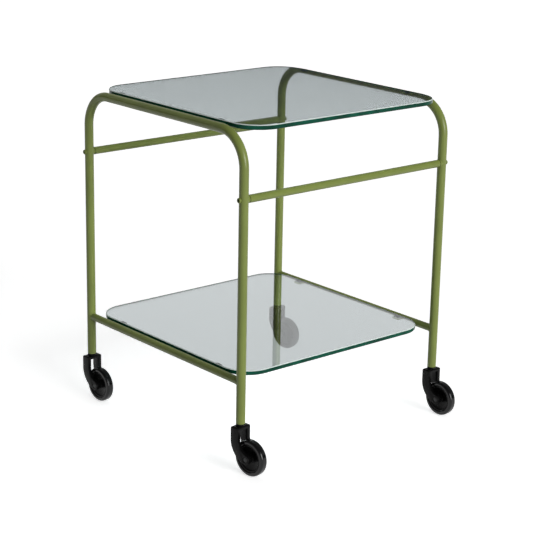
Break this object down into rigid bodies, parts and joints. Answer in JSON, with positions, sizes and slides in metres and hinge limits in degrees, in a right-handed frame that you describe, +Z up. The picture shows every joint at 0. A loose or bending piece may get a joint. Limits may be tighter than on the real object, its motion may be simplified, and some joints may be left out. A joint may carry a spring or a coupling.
{
  "type": "serving cart",
  "caption": "Serving cart with inverted-U hoops of bent green tube, cross rails, clear glass shelves with rounded corners, and swivel casters with black wheels.",
  "frame": {"origin": "middle of the outline on the floor, with the wheels trailing to the front as in the picture", "axes": "+Z up; +Y towards the rear, along the top bars of the hoops; +X towards the cart's right side, along the cross rails"},
  "size_m": [0.5824, 0.6, 0.6985],
  "materials": {
    "frame_paint": "olive green powder coat, satin",
    "screw_paint": "olive green lacquer, satin",
    "clear_glass": "clear toughened glass with a faint grey-green body and polished dark green edges",
    "soft_bumper": "translucent grey soft plastic, matte",
    "zinc_steel": "bright zinc plated steel",
    "black_steel": "blackened steel, satin",
    "black_nylon": "moulded black nylon, fine grain",
    "black_tread": "smooth black rubber tread, slight sheen"
  },
  "bodies": {
    "frame": {"left_hoop": "frame_paint", "right_hoop": "frame_paint", "left_shelf_rail": "frame_paint", "right_shelf_rail": "frame_paint", "front_cross_rail": "frame_paint", "rear_cross_rail": "frame_paint", "rail_end_inserts": "zinc_steel", "cross_rail_screws": "screw_paint", "upper_glass": "clear_glass", "lower_glass": "clear_glass", "upper_glass_bumpers": "soft_bumper", "lower_glass_bumpers": "soft_bumper", "upper_front_left_tab": "frame_paint", "upper_front_right_tab": "frame_paint", "upper_rear_left_tab": "frame_paint", "upper_rear_right_tab": "frame_paint", "lower_front_left_tab": "frame_paint", "lower_front_right_tab": "frame_paint", "lower_rear_left_tab": "frame_paint", "lower_rear_right_tab": "frame_paint", "front_left_socket": "black_nylon", "front_left_stem": "zinc_steel", "front_left_snap_ring": "zinc_steel", "front_right_socket": "black_nylon", "front_right_stem": "zinc_steel", "front_right_snap_ring": "zinc_steel", "rear_left_socket": "black_nylon", "rear_left_stem": "zinc_steel", "rear_left_snap_ring": "zinc_steel", "rear_right_socket": "black_nylon", "rear_right_stem": "zinc_steel", "rear_right_snap_ring": "zinc_steel"},
    "front_left_caster": {"front_left_fork": "black_nylon", "front_left_axle": "black_steel"},
    "front_left_roller": {"front_left_wheel": "black_nylon", "front_left_tyre": "black_tread"},
    "front_right_caster": {"front_right_fork": "black_nylon", "front_right_axle": "black_steel"},
    "front_right_roller": {"front_right_wheel": "black_nylon", "front_right_tyre": "black_tread"},
    "rear_left_caster": {"rear_left_fork": "black_nylon", "rear_left_axle": "black_steel"},
    "rear_left_roller": {"rear_left_wheel": "black_nylon", "rear_left_tyre": "black_tread"},
    "rear_right_caster": {"rear_right_fork": "black_nylon", "rear_right_axle": "black_steel"},
    "rear_right_roller": {"rear_right_wheel": "black_nylon", "rear_right_tyre": "black_tread"}
  },
  "joints": [
    {"name": "front_left_swivel", "type": "hinge", "parent": "frame", "child": "front_left_caster", "pos_m": [-0.27215, -0.23241, 0.0986], "axis": [0, 0, 1], "continuous": true},
    {"name": "front_left_spin", "type": "hinge", "parent": "front_left_caster", "child": "front_left_roller", "pos_m": [-0.2685, -0.26219, 0.0375], "axis": [0.9925, 0.1219, 0], "continuous": true},
    {"name": "front_right_swivel", "type": "hinge", "parent": "frame", "child": "front_right_caster", "pos_m": [0.26785, -0.23241, 0.0986], "axis": [0, 0, 1], "continuous": true},
    {"name": "front_right_spin", "type": "hinge", "parent": "front_right_caster", "child": "front_right_roller", "pos_m": [0.26889, -0.26239, 0.0375], "axis": [0.9994, 0.0349, 0], "continuous": true},
    {"name": "rear_left_swivel", "type": "hinge", "parent": "frame", "child": "rear_left_caster", "pos_m": [-0.27215, 0.28759, 0.0986], "axis": [0, 0, 1], "continuous": true},
    {"name": "rear_left_spin", "type": "hinge", "parent": "rear_left_caster", "child": "rear_left_roller", "pos_m": [-0.27058, 0.25763, 0.0375], "axis": [0.9986, 0.0523, 0], "continuous": true},
    {"name": "rear_right_swivel", "type": "hinge", "parent": "frame", "child": "rear_right_caster", "pos_m": [0.26785, 0.28759, 0.0986], "axis": [0, 0, 1], "continuous": true},
    {"name": "rear_right_spin", "type": "hinge", "parent": "rear_right_caster", "child": "rear_right_roller", "pos_m": [0.27202, 0.25788, 0.0375], "axis": [0.9903, 0.1392, 0], "continuous": true}
  ]
}
